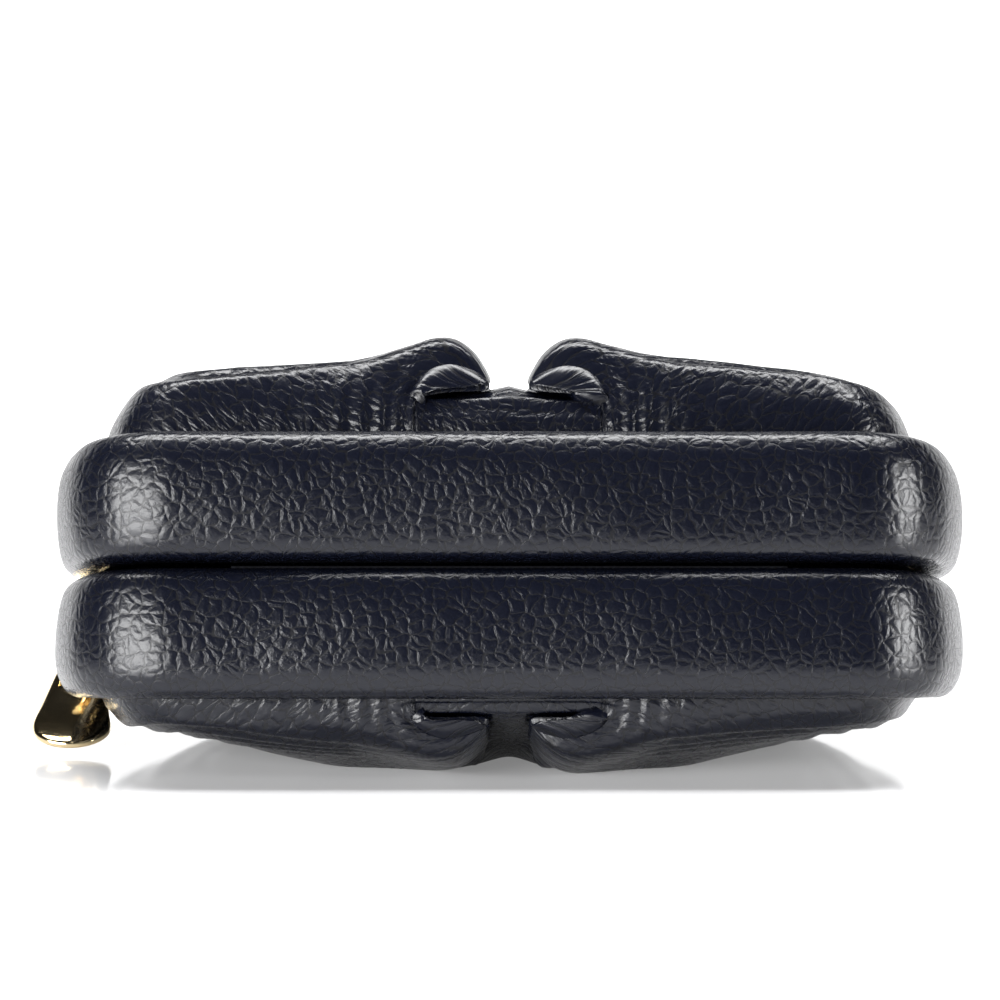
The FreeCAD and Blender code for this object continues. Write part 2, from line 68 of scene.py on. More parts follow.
def lie_down(points):
    """Points of the purse's own frame, in millimetres, as the purse lies on the floor, in metres."""
    points = np.asarray(points, float) * 0.001
    lying = np.array([across, up_purse, out_of_plane])
    return points @ lying + np.array(bottom_edge)


def stand_up(node):
    """A CAD node's corners in the purse's own frame, in millimetres."""
    corners = np.array([corner.co for corner in frame["nodes"][node].data.vertices], float)
    lying = np.array([across, up_purse, out_of_plane])
    return (corners - np.array(bottom_edge)) @ lying.T * 1000


# The outline that every leather piece is cut to: a flat bottom, two round corners and one wide
# arc that carries the zip.
front_band_corners = stand_up("front_band")
arc_radius = front_band_corners[:, 0].max()
arc_height = (arc_centre - bottom_edge).length * 1000
corner_round = 14.0
corner_x = math.sqrt((arc_radius - corner_round) ** 2 - (arc_height - corner_round) ** 2)
corner_slope = math.atan2(arc_height - corner_round, corner_x)
purse_height = arc_height + arc_radius
corner_length = corner_round * (math.pi / 2 - corner_slope)
arc_length = arc_radius * (math.pi + 2 * corner_slope)
outline_length = 2 * corner_x + 2 * corner_length + arc_length

low_part = front_band_corners[front_band_corners[:, 1] < 8]
high_part = front_band_corners[front_band_corners[:, 1] > purse_height - 8]
rim_at_bottom = low_part[:, 2].max()
rim_at_top = high_part[:, 2].max()


def outline(along, inset):
    """The outline's point and outward direction, along millimetres anticlockwise from mid-bottom."""
    along = np.mod(along + outline_length / 2, outline_length) - outline_length / 2
    side = np.where(along < 0, -1.0, 1.0)
    run = np.abs(along)
    in_corner = np.clip((run - corner_x) / corner_round, 0, math.pi / 2 - corner_slope)
    in_arc = np.clip(run - corner_x - corner_length, 0, None) / arc_radius
    turn = -math.pi / 2 + in_corner + in_arc
    on_arc = run > corner_x + corner_length
    centre_x = np.where(on_arc, 0, np.minimum(run, corner_x))
    centre_y = np.where(on_arc, arc_height, corner_round)
    reach = np.where(on_arc, arc_radius, corner_round) - inset
    outward = np.stack([side * np.cos(turn), np.sin(turn)], -1)
    point = np.stack([side * (centre_x + reach * np.cos(turn)), centre_y + reach * np.sin(turn)], -1)
    return point, outward


def rim_height(y):
    """How far the rim, where band and panel are sewn, stands off the middle plane."""
    return rim_at_bottom + (rim_at_top - rim_at_bottom) * np.clip(y / purse_height, 0, 1)


def ease(value, low, high):
    """0 before low, 1 after high, and smooth between."""
    share = np.clip((value - low) / (high - low), 0, 1)
    return share * share * (3 - 2 * share)


def smooth_path(keys, steps):
    """A smooth path through keys, read at steps, which count keys from 0."""
    last = len(keys) - 1
    start = np.clip(np.floor(steps).astype(int), 0, last - 1)
    share = (steps - start).reshape(-1, *([1] * (keys.ndim - 1)))
    before, here = keys[np.maximum(start - 1, 0)], keys[start]
    there, after = keys[start + 1], keys[np.minimum(start + 2, last)]
    return here + 0.5 * share * (
        there - before
        + share * (2 * before - 5 * here + 4 * there - after + share * (3 * (here - there) + after - before))
    )


def drawn_skin(name, points, grain_layout, crease_layout, thickness):
    """A skin of cells moved to points[row, column], its edges merged where they meet."""
    rows, columns = points.shape[:2]
    shape = bmesh.new()
    bmesh.ops.create_grid(shape, x_segments=columns - 1, y_segments=rows - 1, size=1)
    grain = shape.loops.layers.uv.new("grain")
    crease = shape.loops.layers.uv.new("crease")
    place = {}
    for corner in shape.verts:
        column = round((corner.co.x + 1) / 2 * (columns - 1))
        row = round((corner.co.y + 1) / 2 * (rows - 1))
        place[corner.index] = (row, column)
    for cell in shape.faces:
        cell.smooth = True
        for loop in cell.loops:
            row, column = place[loop.vert.index]
            loop[grain].uv = grain_layout[row, column]
            loop[crease].uv = crease_layout[row, column]
    lying = lie_down(points.reshape(-1, 3)).reshape(rows, columns, 3)
    for corner in shape.verts:
        corner.co = lying[place[corner.index]]
    bmesh.ops.remove_doubles(shape, verts=shape.verts, dist=2e-6)
    shape.normal_update()
    heart = Vector(lie_down([(0, purse_height / 2, 0)])[0])
    facing = sum(cell.normal.dot(cell.calc_center_median() - heart) * cell.calc_area() for cell in shape.faces)
    if facing < 0:
        bmesh.ops.reverse_faces(shape, faces=shape.faces)
    return finished(name, shape, thickness)


def finished(name, shape, thickness=0.0):
    """The shape as an object in the scene, with a wall of that thickness on its inner side."""
    mesh = bpy.data.meshes.new(name)
    shape.to_mesh(mesh)
    shape.free()
    piece = bpy.data.objects.new(name, mesh)
    bpy.context.scene.collection.objects.link(piece)
    if thickness:
        wall = piece.modifiers.new("wall", "SOLIDIFY")
        wall.thickness = thickness
        wall.offset = -1
    return piece


def walked(points):
    """How far each row is from the first, along the skin, in metres."""
    steps = np.linalg.norm(np.diff(points, axis=0), axis=-1)
    return np.concatenate([np.zeros((1, points.shape[1])), np.cumsum(steps, 0)]) * 0.001


def uneven(points, size, amount):
    """A small seeded swelling and sinking of a skin, in millimetres, for each point."""
    flat = points.reshape(-1, 3) / size
    lift = np.array([noise.noise(Vector(point)) for point in flat])
    return (lift * amount).reshape(points.shape[:-1])


def new_material(name):
    material = bpy.data.materials.new(name)
    material.use_nodes = True
    return material, material.node_tree, material.node_tree.nodes["Principled BSDF"]


def add(tree, kind, values=(), **settings):
    """A node of that kind with its settings, and values for its inputs by name or number."""
    node = tree.nodes.new(kind)
    for name, value in settings.items():
        setattr(node, name, value)
    for name, value in dict(values).items():
        if isinstance(value, bpy.types.NodeSocket):
            tree.links.new(value, node.inputs[name])
        else:
            node.inputs[name].default_value = value
    return node


def shared_effect(name, inputs, outputs):
    """An empty node group with those inputs and outputs, each a name and a kind of socket."""
    tree = bpy.data.node_groups.new(name, "ShaderNodeTree")
    for socket, kind in inputs:
        tree.interface.new_socket(socket, in_out="INPUT", socket_type=kind)
    for socket, kind in outputs:
        tree.interface.new_socket(socket, in_out="OUTPUT", socket_type=kind)
    return tree, tree.nodes.new("NodeGroupInput").outputs, tree.nodes.new("NodeGroupOutput").inputs


# Pebbled grain: raised pebbles with fine creases between and across them, and long drawn wrinkles
# where the leather was pulled to a seam.
VECTOR, FLOAT = "NodeSocketVector", "NodeSocketFloat"
grain_group, given, made = shared_effect(
    "pebbled_grain",
    [("Layout", VECTOR), ("Crease layout", VECTOR), ("Pebble size", FLOAT), ("Drawn", FLOAT)],
    [("Height", FLOAT), ("Crease", FLOAT)],
)
t = grain_group
in_mm = add(t, "ShaderNodeVectorMath", {0: given["Layout"], 1: (1000, 1000, 1000)}, operation="MULTIPLY")
wander = add(t, "ShaderNodeTexNoise", {"Vector": in_mm.outputs[0], "Scale": 0.4, "Detail": 4.0})
wander = add(t, "ShaderNodeVectorMath", {0: wander.outputs["Color"], 1: (0.5, 0.5, 0.5)}, operation="SUBTRACT")
wander = add(t, "ShaderNodeVectorMath", {0: wander.outputs[0], "Scale": 2.6}, operation="SCALE")
warped = add(t, "ShaderNodeVectorMath", {0: in_mm.outputs[0], 1: wander.outputs[0]}, operation="ADD")
one_over = add(t, "ShaderNodeMath", {0: 1.0, 1: given["Pebble size"]}, operation="DIVIDE")
pebbles = add(
    t, "ShaderNodeTexVoronoi", {"Vector": warped.outputs[0], "Scale": one_over.outputs[0]},
    feature="DISTANCE_TO_EDGE", voronoi_dimensions="2D",
)
swell = add(
    t, "ShaderNodeMapRange", {"Value": pebbles.outputs["Distance"], "From Min": 0.0, "From Max": 0.11},
    interpolation_type="SMOOTHERSTEP",
)
rounded = add(
    t, "ShaderNodeMapRange", {"Value": pebbles.outputs["Distance"], "From Min": 0.0, "From Max": 0.42},
    interpolation_type="SMOOTHSTEP",
)
finer = add(t, "ShaderNodeMath", {0: one_over.outputs[0], 1: 2.7}, operation="MULTIPLY")
creases = add(
    t, "ShaderNodeTexVoronoi", {"Vector": warped.outputs[0], "Scale": finer.outputs[0]},
    feature="DISTANCE_TO_EDGE", voronoi_dimensions="2D",
)
fine = add(
    t, "ShaderNodeMapRange", {"Value": creases.outputs["Distance"], "From Min": 0.0, "From Max": 0.12},
    interpolation_type="SMOOTHSTEP",
)
pores = add(t, "ShaderNodeTexNoise", {"Vector": in_mm.outputs[0], "Scale": 4.5, "Detail": 2.0})
broad = add(t, "ShaderNodeTexNoise", {"Vector": in_mm.outputs[0], "Scale": 0.16, "Detail": 2.0})
drawn_mm = add(t, "ShaderNodeVectorMath", {0: given["Crease layout"], 1: (90, 900, 1)}, operation="MULTIPLY")
folds = add(t, "ShaderNodeTexNoise", {"Vector": drawn_mm.outputs[0], "Scale": 1.0, "Detail": 3.0, "Roughness": 0.45})
fold_height = add(
    t, "ShaderNodeMapRange", {"Value": folds.outputs["Fac"], "From Min": 0.3, "From Max": 0.7},
    interpolation_type="SMOOTHSTEP",
)
total = add(t, "ShaderNodeMath", {0: swell.outputs[0], 1: 0.16}, operation="MULTIPLY")
total = add(t, "ShaderNodeMath", {0: rounded.outputs[0], 1: 0.75, 2: total.outputs[0]}, operation="MULTIPLY_ADD")
total = add(t, "ShaderNodeMath", {0: fine.outputs[0], 1: 0.07, 2: total.outputs[0]}, operation="MULTIPLY_ADD")
total = add(t, "ShaderNodeMath", {0: pores.outputs["Fac"], 1: 0.07, 2: total.outputs[0]}, operation="MULTIPLY_ADD")
total = add(t, "ShaderNodeMath", {0: broad.outputs["Fac"], 1: 0.9, 2: total.outputs[0]}, operation="MULTIPLY_ADD")
drawn = add(t, "ShaderNodeMath", {0: fold_height.outputs[0], 1: given["Drawn"]}, operation="MULTIPLY")
total = add(t, "ShaderNodeMath", {0: total.outputs[0], 1: drawn.outputs[0]}, operation="ADD")
t.links.new(total.outputs[0], made["Height"])
# The hollows between the pebbles: they dull the leather and carry its painted crease shade.
hollow = add(t, "ShaderNodeMath", {0: 1.0, 1: swell.outputs[0]}, operation="SUBTRACT")
t.links.new(hollow.outputs[0], made["Crease"])


def pebbled_leather(name, pebble_size, drawn, relief, shade_colour, light):
    """Glossy finished leather: a deep colour, duller in the creases and darkened there by painted shade."""
    material, tree, shader = new_material(name)
    layout = add(tree, "ShaderNodeUVMap", uv_map="grain")
    crease_layout = add(tree, "ShaderNodeUVMap", uv_map="crease")
    grain = add(tree, "ShaderNodeGroup", node_tree=grain_group)
    tree.links.new(layout.outputs[0], grain.inputs["Layout"])
    tree.links.new(crease_layout.outputs[0], grain.inputs["Crease layout"])
    grain.inputs["Pebble size"].default_value = pebble_size
    grain.inputs["Drawn"].default_value = drawn
    # Painted shade: the colour goes darker into the creases between the pebbles.
    colour = add(tree, "ShaderNodeMix", {"Factor": grain.outputs["Crease"]}, data_type="RGBA")
    colour.inputs["A"].default_value = light
    colour.inputs["B"].default_value = shade_colour
    tree.links.new(colour.outputs["Result"], shader.inputs["Base Color"])
    dull = add(tree, "ShaderNodeMapRange", {"Value": grain.outputs["Crease"], "To Min": 0.25, "To Max": 0.36})
    tree.links.new(dull.outputs[0], shader.inputs["Roughness"])
    bump = add(tree, "ShaderNodeBump", {"Strength": 1.0, "Distance": relief, "Height": grain.outputs["Height"]})
    tree.links.new(bump.outputs[0], shader.inputs["Normal"])
    shader.inputs["Specular IOR Level"].default_value = 0.36
    shader.inputs["Coat Weight"].default_value = 0.08
    shader.inputs["Coat Roughness"].default_value = 0.2
    return material


# The leather's own navy, and a darker navy painted into its creases as shade.
navy_crease_shade, navy = (0.0012, 0.0014, 0.003, 1), (0.0030, 0.0038, 0.0085, 1)
band_leather = pebbled_leather("band_leather", 1.6, 0.1, 0.000055, navy_crease_shade, navy)

zip_from, zip_to = math.radians(24), math.radians(156)
channel_half = 4.5
section_rows = 73
along_band = np.linspace(-outline_length / 2, outline_length / 2, 421)


def zip_share(points):
    """1 where the zip runs along the arc, 0 where the two bands meet, for points of the outline."""
    angle = np.arctan2(points[:, 1] - arc_height, points[:, 0])
    angle = np.where(angle < -math.pi / 2, angle + 2 * math.pi, angle)
    edge = 0.09
    return ease(angle, zip_from - edge, zip_from + edge) * (1 - ease(angle, zip_to - edge, zip_to + edge))


def band_points(front):
    """The band's skin from its turned-in edge in the groove, over its wall, to the rim seam."""
    edge_points, outward = outline(along_band, 0)
    rim = rim_height(edge_points[:, 1])
    zipped = zip_share(edge_points)
    start = 0.25 + (channel_half - 0.25) * zipped
    full = rim - start
    one = np.ones_like(rim)
    keys = np.stack([
        np.stack([5.0 - 3.3 * zipped, start + 0.1], -1),
        np.stack([2.8 - 1.3 * zipped, start + 0.25 - 0.05 * zipped], -1),
        np.stack([1.1 - 0.2 * zipped, start + 1.0 - 0.5 * zipped], -1),
        np.stack([0.25 * one, start + 2.6 - 0.8 * zipped], -1),
        np.stack([-0.25 * one, start + 0.38 * full], -1),
        np.stack([-0.35 * one, start + 0.60 * full], -1),
        np.stack([-0.15 * one, rim - 3.6], -1),
        np.stack([0.35 * one, rim - 1.9], -1),
        np.stack([1.35 * one, rim - 0.35], -1),
        np.stack([2.9 * one, rim + 0.35], -1),
        np.stack([4.4 * one, rim + 0.05], -1),
        np.stack([5.3 * one, rim - 0.9], -1),
        np.stack([5.6 * one, rim - 2.8], -1),
    ])
    section = smooth_path(keys, np.linspace(0, len(keys) - 1, section_rows))
    inset, height = section[..., 0], section[..., 1]
    flat = edge_points[None] - outward[None] * inset[..., None]
    return np.concatenate([flat, (height if front else -height)[..., None]], -1), outward


def sewn_band(front):
    """One band, with the slight swelling of its foam and the pull of its seam stitches."""
    points, outward = band_points(front)
    on_wall = np.clip(1 - np.abs(np.linspace(-1, 1, section_rows)) ** 4, 0, 1)[:, None]
    swell = uneven(points + (0 if front else 300), 24.0, 0.5) + uneven(points, 7.0, 0.08)
    pull = 0.10 * np.sin(along_band * 1.9 + 2.2 * np.sin(along_band * 0.21))[None]
    near_seam = ease(np.arange(float(section_rows)), 46, 62)[:, None] * on_wall
    push = (swell * on_wall + pull * near_seam)[..., None]
    points[..., :2] += outward[None] * push
    walk = walked(points)
    layout = np.stack([np.broadcast_to(along_band * 0.001, walk.shape), walk + (0 if front else 0.2)], -1)
    return points, layout


for half, front in (("front", True), ("back", False)):
    points, layout = sewn_band(front)
    band = drawn_skin(f"{half}_band_leather", points, layout, layout, 0.0013)
    band.data.materials.append(band_leather)
    if front:
        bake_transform(band)
    else:
        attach(band, "back_half")
    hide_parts(f"{half}_band", f"{half}_band_foam")

# ---------------------------------------------------------------------------------------------
# The front and back panels. Each is one padded piece of leather, gathered at the middle of the
# bottom seam into two rolls that lean over a hollow towards each other and run out up the panel.
# ---------------------------------------------------------------------------------------------
panel_leather = pebbled_leather("panel_leather", 1.6, 0.9, 0.000062, navy_crease_shade, navy)
panel_inset = 5.5
panel_middle = 36.0
gather_half = 22.0
roll_keys = np.array([
    # along the seam, sewn at, rolled to, rolled up
    (-gather_half, -gather_half, -gather_half, 0.0),
    (-18.0, -18.2, -18.0, 0.5),
    (-14.5, -15.6, -13.6, 1.5),
    (-12.0, -14.2, -10.2, 2.4),
    (-10.2, -13.4, -7.4, 2.2),
    (-8.8, -12.9, -4.9, 0.6),
    (-7.7, -12.6, -3.3, -1.6),
    (-6.8, -12.4, -2.6, -3.2),
    (-6.0, -12.2, -3.3, -3.5),
    (-5.2, -12.1, -5.2, -2.2),
    (-4.4, -12.0, -8.0, -1.3),
    (-3.6, -11.9, -10.6, -2.0),
    (-3.0, -11.7, -11.6, -4.2),
    (-2.5, -10.6, -10.2, -5.5),
    (-1.5, -6.2, -6.0, -5.2),
    (0.0, 0.0, 0.0, -4.0),
])
crown_keys = np.array([
    # share of the way out to the seam, share of the front crown's height, and of the back's
    (0.0, 1.0, 1.0), (0.2, 0.99, 0.97), (0.37, 0.955, 0.87), (0.58, 0.90, 0.70), (0.74, 0.86, 0.59),
    (0.84, 0.82, 0.53), (0.91, 0.74, 0.46), (0.955, 0.58, 0.36), (0.985, 0.32, 0.16), (1.0, 0.0, 0.0),
])
crown_line = smooth_path(crown_keys, np.linspace(0, len(crown_keys) - 1, 200))


def gathered(along):
    """Where a line of the panel is sewn, where its roll carries it, and how high, by distance along."""
    side = np.where(along < 0, -1.0, 1.0)
    steps = np.interp(-np.abs(along), roll_keys[:, 0], np.arange(len(roll_keys)))
    path = smooth_path(roll_keys, steps)
    beyond = np.abs(along) > gather_half
    sewn = np.where(beyond, along, -side * path[:, 1])
    rolled = np.where(beyond, along, -side * path[:, 2])
    lifted = np.where(beyond, 0, path[:, 3])
    return sewn, rolled, lifted


def panel_columns():
    """Lines of the panel, close together where it is gathered."""
    fine_part = np.linspace(0, gather_half, 110)
    rest = np.linspace(gather_half, outline_length / 2, 111)[1:]
    half_way = np.concatenate([fine_part, rest])
    return np.concatenate([-half_way[:0:-1], half_way])


def panel_points(front, rise, gather):
    """The panel's skin from under the rim seam up over its crown, with its two rolls."""
    along = panel_columns()
    edge_points, _ = outline(along, panel_inset)
    sewn, rolled, lifted = gathered(along)
    lifted = lifted * gather
    rows = [(1.0, -2.6), (1.0, -1.2)] + [(share, 0.0) for share in 1 - np.linspace(0, 1, 96) ** 1.55]
    points = np.zeros((len(rows), len(along), 3))
    in_gather = np.abs(along) < corner_x
    wide = 1 - ease(np.abs(along), 15, 41)
    for row, (share, tuck) in enumerate(rows):
        crown = float(np.interp(share, crown_line[:, 0], crown_line[:, 1 if front else 2]))
        opened = 1 - float(ease(share, 0.915, 0.972))
        running = float(ease(share, 0.42, 0.74))
        held = sewn + (along + (rolled - along) * running - sewn) * opened
        spread = share + 0.66 * (1 - share) * wide * float(ease(share, 0.2, 0.6))
        x = np.where(in_gather, held * spread, edge_points[:, 0] * share)
        y = panel_middle + (edge_points[:, 1] - panel_middle) * share
        rim = rim_height(y)
        between = -5.0 * np.exp(-((x / 4.6) ** 2)) + 1.2 * np.exp(-(((np.abs(x) - 10.5) / 5) ** 2))
        between = between * (1 - ease(y, 50, 72)) * gather * ease(y, 5, 9)
        strip = -2.2 * (1 - ease(np.abs(sewn), 11, 18)) * gather
        strip = strip * float(1 - ease(share, 0.975, 1.0)) * (1 - opened)
        shoulder = 1 - (0.22 if front else 0.32) * ease(np.abs(x), 12, 48)
        z = rim + tuck + rise * crown * shoulder + lifted * opened * running + between * (1 - running) + strip
        points[row] = np.stack([x, y, z if front else -z], -1)
    return points, along, np.array([share for share, _ in rows])


def press_on_floor(points, least):
    """The points of a soft skin that would be under the floor, flattened against it."""
    lying = lie_down(points.reshape(-1, 3)) * 1000
    height = lying[:, 2] - least
    soft = 0.9
    held = least + 0.5 * (height + np.sqrt(height ** 2 + 4 * soft ** 2)) - soft * np.exp(-np.abs(height) / 4)
    lying[:, 2] = np.maximum(held, least)
    back = (lying * 0.001 - np.array(bottom_edge)) @ np.array([across, up_purse, out_of_plane]).T * 1000
    return back.reshape(points.shape)


def lay_flat(piece):
    """Settles the piece's own thickness, so that none of it is under the floor."""
    bpy.context.view_layer.update()
    settled = bpy.data.meshes.new_from_object(piece.evaluated_get(bpy.context.evaluated_depsgraph_get()))
    piece.modifiers.clear()
    piece.data = settled
    for corner in settled.vertices:
        corner.co.z = max(corner.co.z, 0.00002)


def stuffed_panel(half, front, rise, gather):
    """One panel with the creases that its padding and its gathers give it."""
    points, along, shares = panel_points(front, rise, gather)
    sign = 1 if front else -1
    edge = shares[:, None]
    away = ease(np.abs(along), 15, 26)[None]
    lower = 1 - ease(np.abs(along), 70, 120)[None]
    ripples = np.sin(np.clip(1 - edge, 0, 1) * 78 + 1.6 * np.sin(along[None] * 0.11) + 0.06 * np.abs(along[None]))
    ripples = ripples * ease(edge, 0.60, 0.8) * (1 - ease(edge, 0.965, 0.99)) * away * lower
    ribs = np.sin(along[None] * 9.0) * (1 - ease(np.abs(along), 13.5, 15.0)[None])
    ribs = ribs * ease(np.abs(along), 7.2, 8.5)[None]
    ribs = ribs * ease(edge, 0.80, 0.9) * (1 - ease(edge, 0.955, 0.975))
    puckers = np.sin(along[None] * 1.75 + 1.4 * np.sin(along[None] * 0.33))
    puckers = puckers * ease(edge, 0.93, 0.985) * (edge < 0.9999)
    inside = 1 - ease(edge, 0.985, 1.0)
    swell = (uneven(points, 22, 0.7) + uneven(points, 6.5, 0.14)) * inside
    points[..., 2] += sign * (0.22 * ripples + 0.05 * ribs + swell)
    points[..., 1] += 0.14 * puckers * (np.abs(along) < corner_x)[None]
    if not front:
        points = press_on_floor(points, 0.05)
    walk = walked(points[::-1])[::-1]
    angle = np.arctan2(points[2, :, 1] - panel_middle, points[2, :, 0])
    fan = np.unwrap(angle)
    layout = np.stack([np.cos(fan)[None] * walk, np.sin(fan)[None] * walk + (0 if front else 0.3)], -1)
    crease_layout = np.stack([np.broadcast_to(along * 0.001, walk.shape), walk], -1)
    panel = drawn_skin(f"{half}_panel_leather", points, layout, crease_layout, 0.0011)
    if not front:
        lay_flat(panel)
    panel.data.materials.append(panel_leather)
    return panel


front_panel = stuffed_panel("front", True, 14.3, 1.0)
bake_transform(front_panel)
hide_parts("front_panel", "front_panel_foam")
back_panel = stuffed_panel("back", False, 12.5, 0.8)
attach(back_panel, "back_half")
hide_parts("back_panel", "back_panel_foam")

# ---------------------------------------------------------------------------------------------
# The lining: a thin plain-woven bag in each half, caught under the zip tape and hanging just
# inside the padding, seen only when the purse is open.
# ---------------------------------------------------------------------------------------------
weave_group, given, made = shared_effect(
    "plain_weave", [("Layout", VECTOR), ("Threads", FLOAT)], [("Height", FLOAT), ("Shade", FLOAT)]
)
t = weave_group
scaled = add(t, "ShaderNodeVectorMath", {0: given["Layout"], "Scale": given["Threads"]}, operation="SCALE")
split = add(t, "ShaderNodeSeparateXYZ", {0: scaled.outputs[0]})
warp = add(t, "ShaderNodeMath", {0: split.outputs[0], 1: math.pi}, operation="MULTIPLY")
warp = add(t, "ShaderNodeMath", {0: warp.outputs[0]}, operation="SINE")
weft = add(t, "ShaderNodeMath", {0: split.outputs[1], 1: math.pi}, operation="MULTIPLY")
weft = add(t, "ShaderNodeMath", {0: weft.outputs[0]}, operation="SINE")
crossing = add(t, "ShaderNodeMath", {0: warp.outputs[0], 1: weft.outputs[0]}, operation="MULTIPLY")
lifted = add(t, "ShaderNodeMapRange", {"Value": crossing.outputs[0], "From Min": -1.0, "From Max": 1.0})
t.links.new(lifted.outputs[0], made["Height"])
slub = add(t, "ShaderNodeTexNoise", {"Vector": scaled.outputs[0], "Scale": 0.35, "Detail": 2.0})
shade = add(t, "ShaderNodeMath", {0: lifted.outputs[0], 1: slub.outputs["Fac"]}, operation="MULTIPLY")
t.links.new(shade.outputs[0], made["Shade"])


def woven_cloth(name, threads_per_metre, shade_colour, light, rough):
    """A plain weave of fine threads, with painted shade between them."""
    material, tree, shader = new_material(name)
    layout = add(tree, "ShaderNodeUVMap", uv_map="grain")
    weave = add(tree, "ShaderNodeGroup", node_tree=weave_group)
    tree.links.new(layout.outputs[0], weave.inputs["Layout"])
    weave.inputs["Threads"].default_value = threads_per_metre
    # Painted shade: the colour darkens where the threads dip, and the slub varies its tone at random.
    colour = add(tree, "ShaderNodeMix", {"Factor": weave.outputs["Shade"]}, data_type="RGBA")
    colour.inputs["A"].default_value = shade_colour
    colour.inputs["B"].default_value = light
    tree.links.new(colour.outputs["Result"], shader.inputs["Base Color"])
    shader.inputs["Roughness"].default_value = rough
    shader.inputs["Specular IOR Level"].default_value = 0.1
    bump = add(tree, "ShaderNodeBump", {"Strength": 0.6, "Distance": 0.0001, "Height": weave.outputs["Height"]})
    tree.links.new(bump.outputs[0], shader.inputs["Normal"])
    return material


# The first colour is painted shade between the threads; the second is the lining's own.
lining_cloth = woven_cloth("lining_cloth", 2600, (0.004, 0.005, 0.009, 1), (0.022, 0.026, 0.040, 1), 0.7)


def hung_lining(half, front, rise):
    """One lining, from under the zip tape down the inside of the band and under the panel."""
    along = np.linspace(-outline_length / 2, outline_length / 2, 301)
    edge_points, outward = outline(along, 0)
    rim = rim_height(edge_points[:, 1])
    zipped = zip_share(edge_points)
    start = 0.6 + (channel_half + 1.4) * zipped
    one = np.ones_like(rim)
    keys = np.stack([
        np.stack([4.6 - 1.6 * zipped, start], -1),
        np.stack([5.3 * one, start + 1.6], -1),
        np.stack([5.5 * one, 0.55 * start + 0.45 * rim], -1),
        np.stack([5.7 * one, rim - 3.6], -1),
        np.stack([6.6 * one, rim - 2.0], -1),
    ])
    section = smooth_path(keys, np.linspace(0, len(keys) - 1, 33))
    flat = edge_points[None] - outward[None] * section[..., :1]
    wall = np.concatenate([flat, section[..., 1:]], -1)
    middle = np.array([0, panel_middle])
    inner = wall[-1, :, :2]
    rows = [wall]
    for share in 1 - np.linspace(0, 1, 46)[1:] ** 1.3:
        plan = middle + (inner - middle) * share
        dome = math.sqrt(max(0, 1 - (min(1, share / 0.93)) ** 2.4))
        hollow = 1 - 0.55 * np.exp(-((plan[:, 0] / 13) ** 2)) * (1 - ease(plan[:, 1], 52, 76))
        height = rim_height(plan[:, 1]) - 2.0 + (rise - 5.5) * dome * hollow
        rows.append(np.concatenate([plan, height[:, None]], -1)[None])
    points = np.concatenate(rows)
    points[..., 2] += uneven(points + 90, 13, 0.7) * ease(np.arange(len(points)), 4, 24)[:, None]
    if not front:
        points[..., 2] *= -1
        points = press_on_floor(points, 2.3)
    walk = walked(points[::-1])[::-1]
    layout = np.stack([np.broadcast_to(along * 0.001, walk.shape), walk], -1)
    lining = drawn_skin(f"{half}_lining_cloth", points, layout, layout, 0.0004)
    lining.data.materials.append(lining_cloth)
    # The cut: a half-moon the size of the wall's inner edge, with the wall's strip sewn round it.
    return lining


front_lining = hung_lining("front", True, 14.0)
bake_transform(front_lining)
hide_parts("front_lining")
back_lining = hung_lining("back", False, 12.0)
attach(back_lining, "back_half")
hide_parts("back_lining")

# ---------------------------------------------------------------------------------------------
# The zip tapes: two ribbons of tight black weave sewn inside the bands' turned-in edges, each
# with a thicker woven edge that the teeth clamp.
# ---------------------------------------------------------------------------------------------
# The first colour is painted shade between the threads; the second is the tape's own.
tape_cloth = woven_cloth("tape_cloth", 1900, (0.002, 0.002, 0.003, 1), (0.013, 0.014, 0.019, 1), 0.8)


def sewn_tape(half, front):
    """One tape, running round the arc between its CAD solid's two ends."""
    solid = stand_up(f"{half}_zip_tape")
    spread = np.arctan2(solid[:, 1] - arc_height, solid[:, 0])
    radius = np.hypot(solid[:, 0], solid[:, 1] - arc_height)
    across_tape = np.abs(solid[:, 2])
    angles = np.linspace(spread.min(), spread.max(), 181)
    reach = np.linspace(across_tape.min(), across_tape.max(), 19)
    cord = 0.32 * np.exp(-((reach - reach[0] - 0.7) / 0.5) ** 2)
    middle_radius = (radius.min() + radius.max()) / 2 - 0.2
    bulge = middle_radius + cord
    points = np.stack([
        bulge[:, None] * np.cos(angles)[None],
        bulge[:, None] * np.sin(angles)[None] + arc_height,
        np.broadcast_to((reach if front else -reach)[:, None], (19, 181)),
    ], -1)
    layout = np.stack(np.broadcast_arrays(angles[None] * middle_radius * 0.001, reach[:, None] * 0.001), -1)
    tape = drawn_skin(f"{half}_tape_cloth", points, layout, layout, 0.0005)
    tape.data.materials.append(tape_cloth)
    return tape


front_tape = sewn_tape("front", True)
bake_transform(front_tape)
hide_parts("front_zip_tape")
back_tape = sewn_tape("back", False)
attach(back_tape, "back_half")
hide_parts("back_zip_tape")

# ---------------------------------------------------------------------------------------------
# The back half of the binding, a woven tape over the sewn bottom seam inside, and the two folded
# leather tabs stitched over the zip's ends.
# ---------------------------------------------------------------------------------------------
binding_solid = stand_up("bottom_binding")
low, high = binding_solid.min(0), binding_solid.max(0)
reach = np.linspace(low[2], high[2], 25)
spread = np.linspace(low[0], high[0], 91)
sag = 0.35 * np.cos(np.linspace(-1.4, 1.4, 25)) ** 2
points = np.stack(np.broadcast_arrays(spread[None], (high[1] - sag)[:, None], reach[:, None]), -1)
layout = np.stack(np.broadcast_arrays(spread[None] * 0.001, reach[:, None] * 0.001), -1)
binding = drawn_skin("bottom_binding_tape", points, layout, layout, 0.0005)
binding.data.materials.append(tape_cloth)
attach(binding, "back_half")
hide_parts("bottom_binding")


